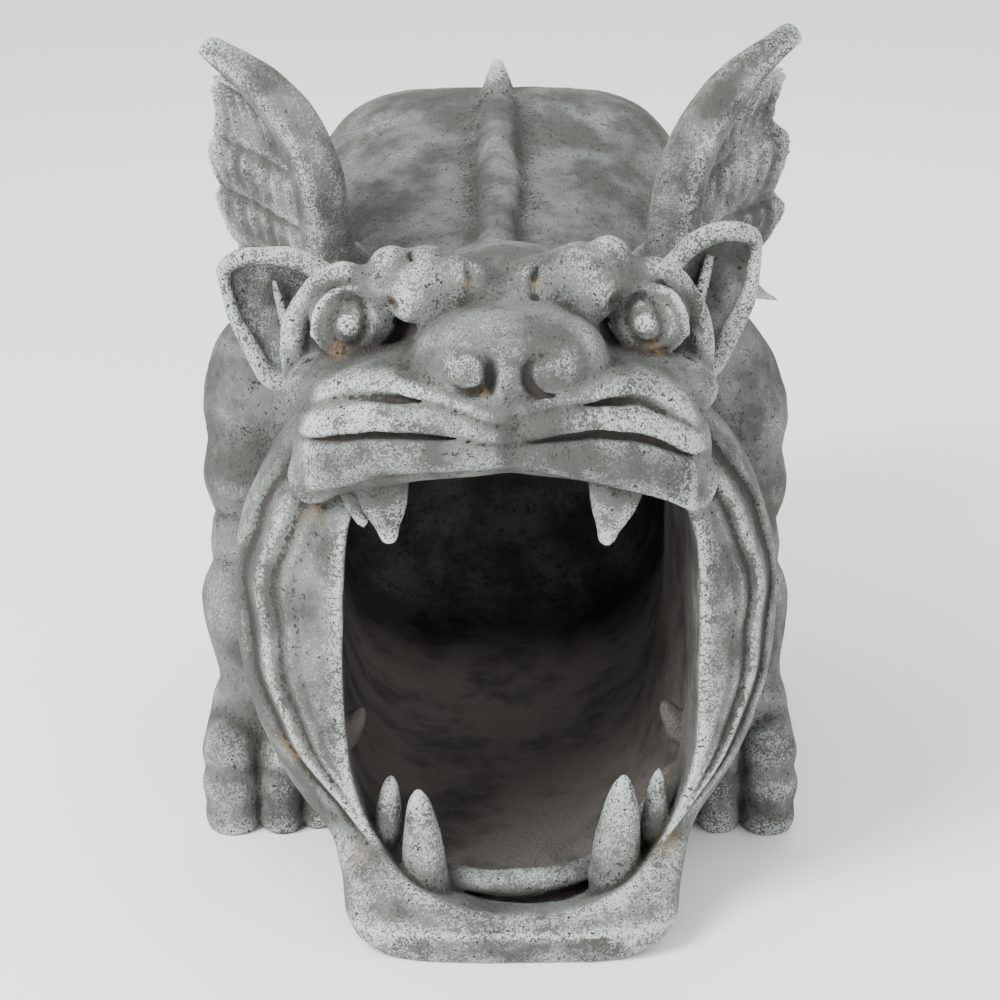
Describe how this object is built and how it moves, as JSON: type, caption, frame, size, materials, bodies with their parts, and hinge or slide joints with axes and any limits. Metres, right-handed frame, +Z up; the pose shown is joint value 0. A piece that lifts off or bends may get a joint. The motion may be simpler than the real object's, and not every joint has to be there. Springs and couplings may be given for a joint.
{
  "type": "gargoyle downspout statue",
  "caption": "Squatting winged gargoyle, cast hollow from the wide open mouth to an arched rear inlet, that stands at the foot of a downspout and lets rainwater out between its jaws.",
  "frame": {"origin": "centre of the bounding box on the ground it stands on", "axes": "+Z up; the gargoyle looks along -Y, its flat rear face looks along +Y and stands against the wall; +X is to the right of a viewer who faces it"},
  "size_m": [0.2159, 0.3009, 0.284],
  "materials": {
    "cast_stone": "weathered grey cast stone, rough and pitted, pale on the high parts and dark in the hollows"
  },
  "bodies": {
    "root": {"gargoyle": "cast_stone"}
  },
  "joints": []
}
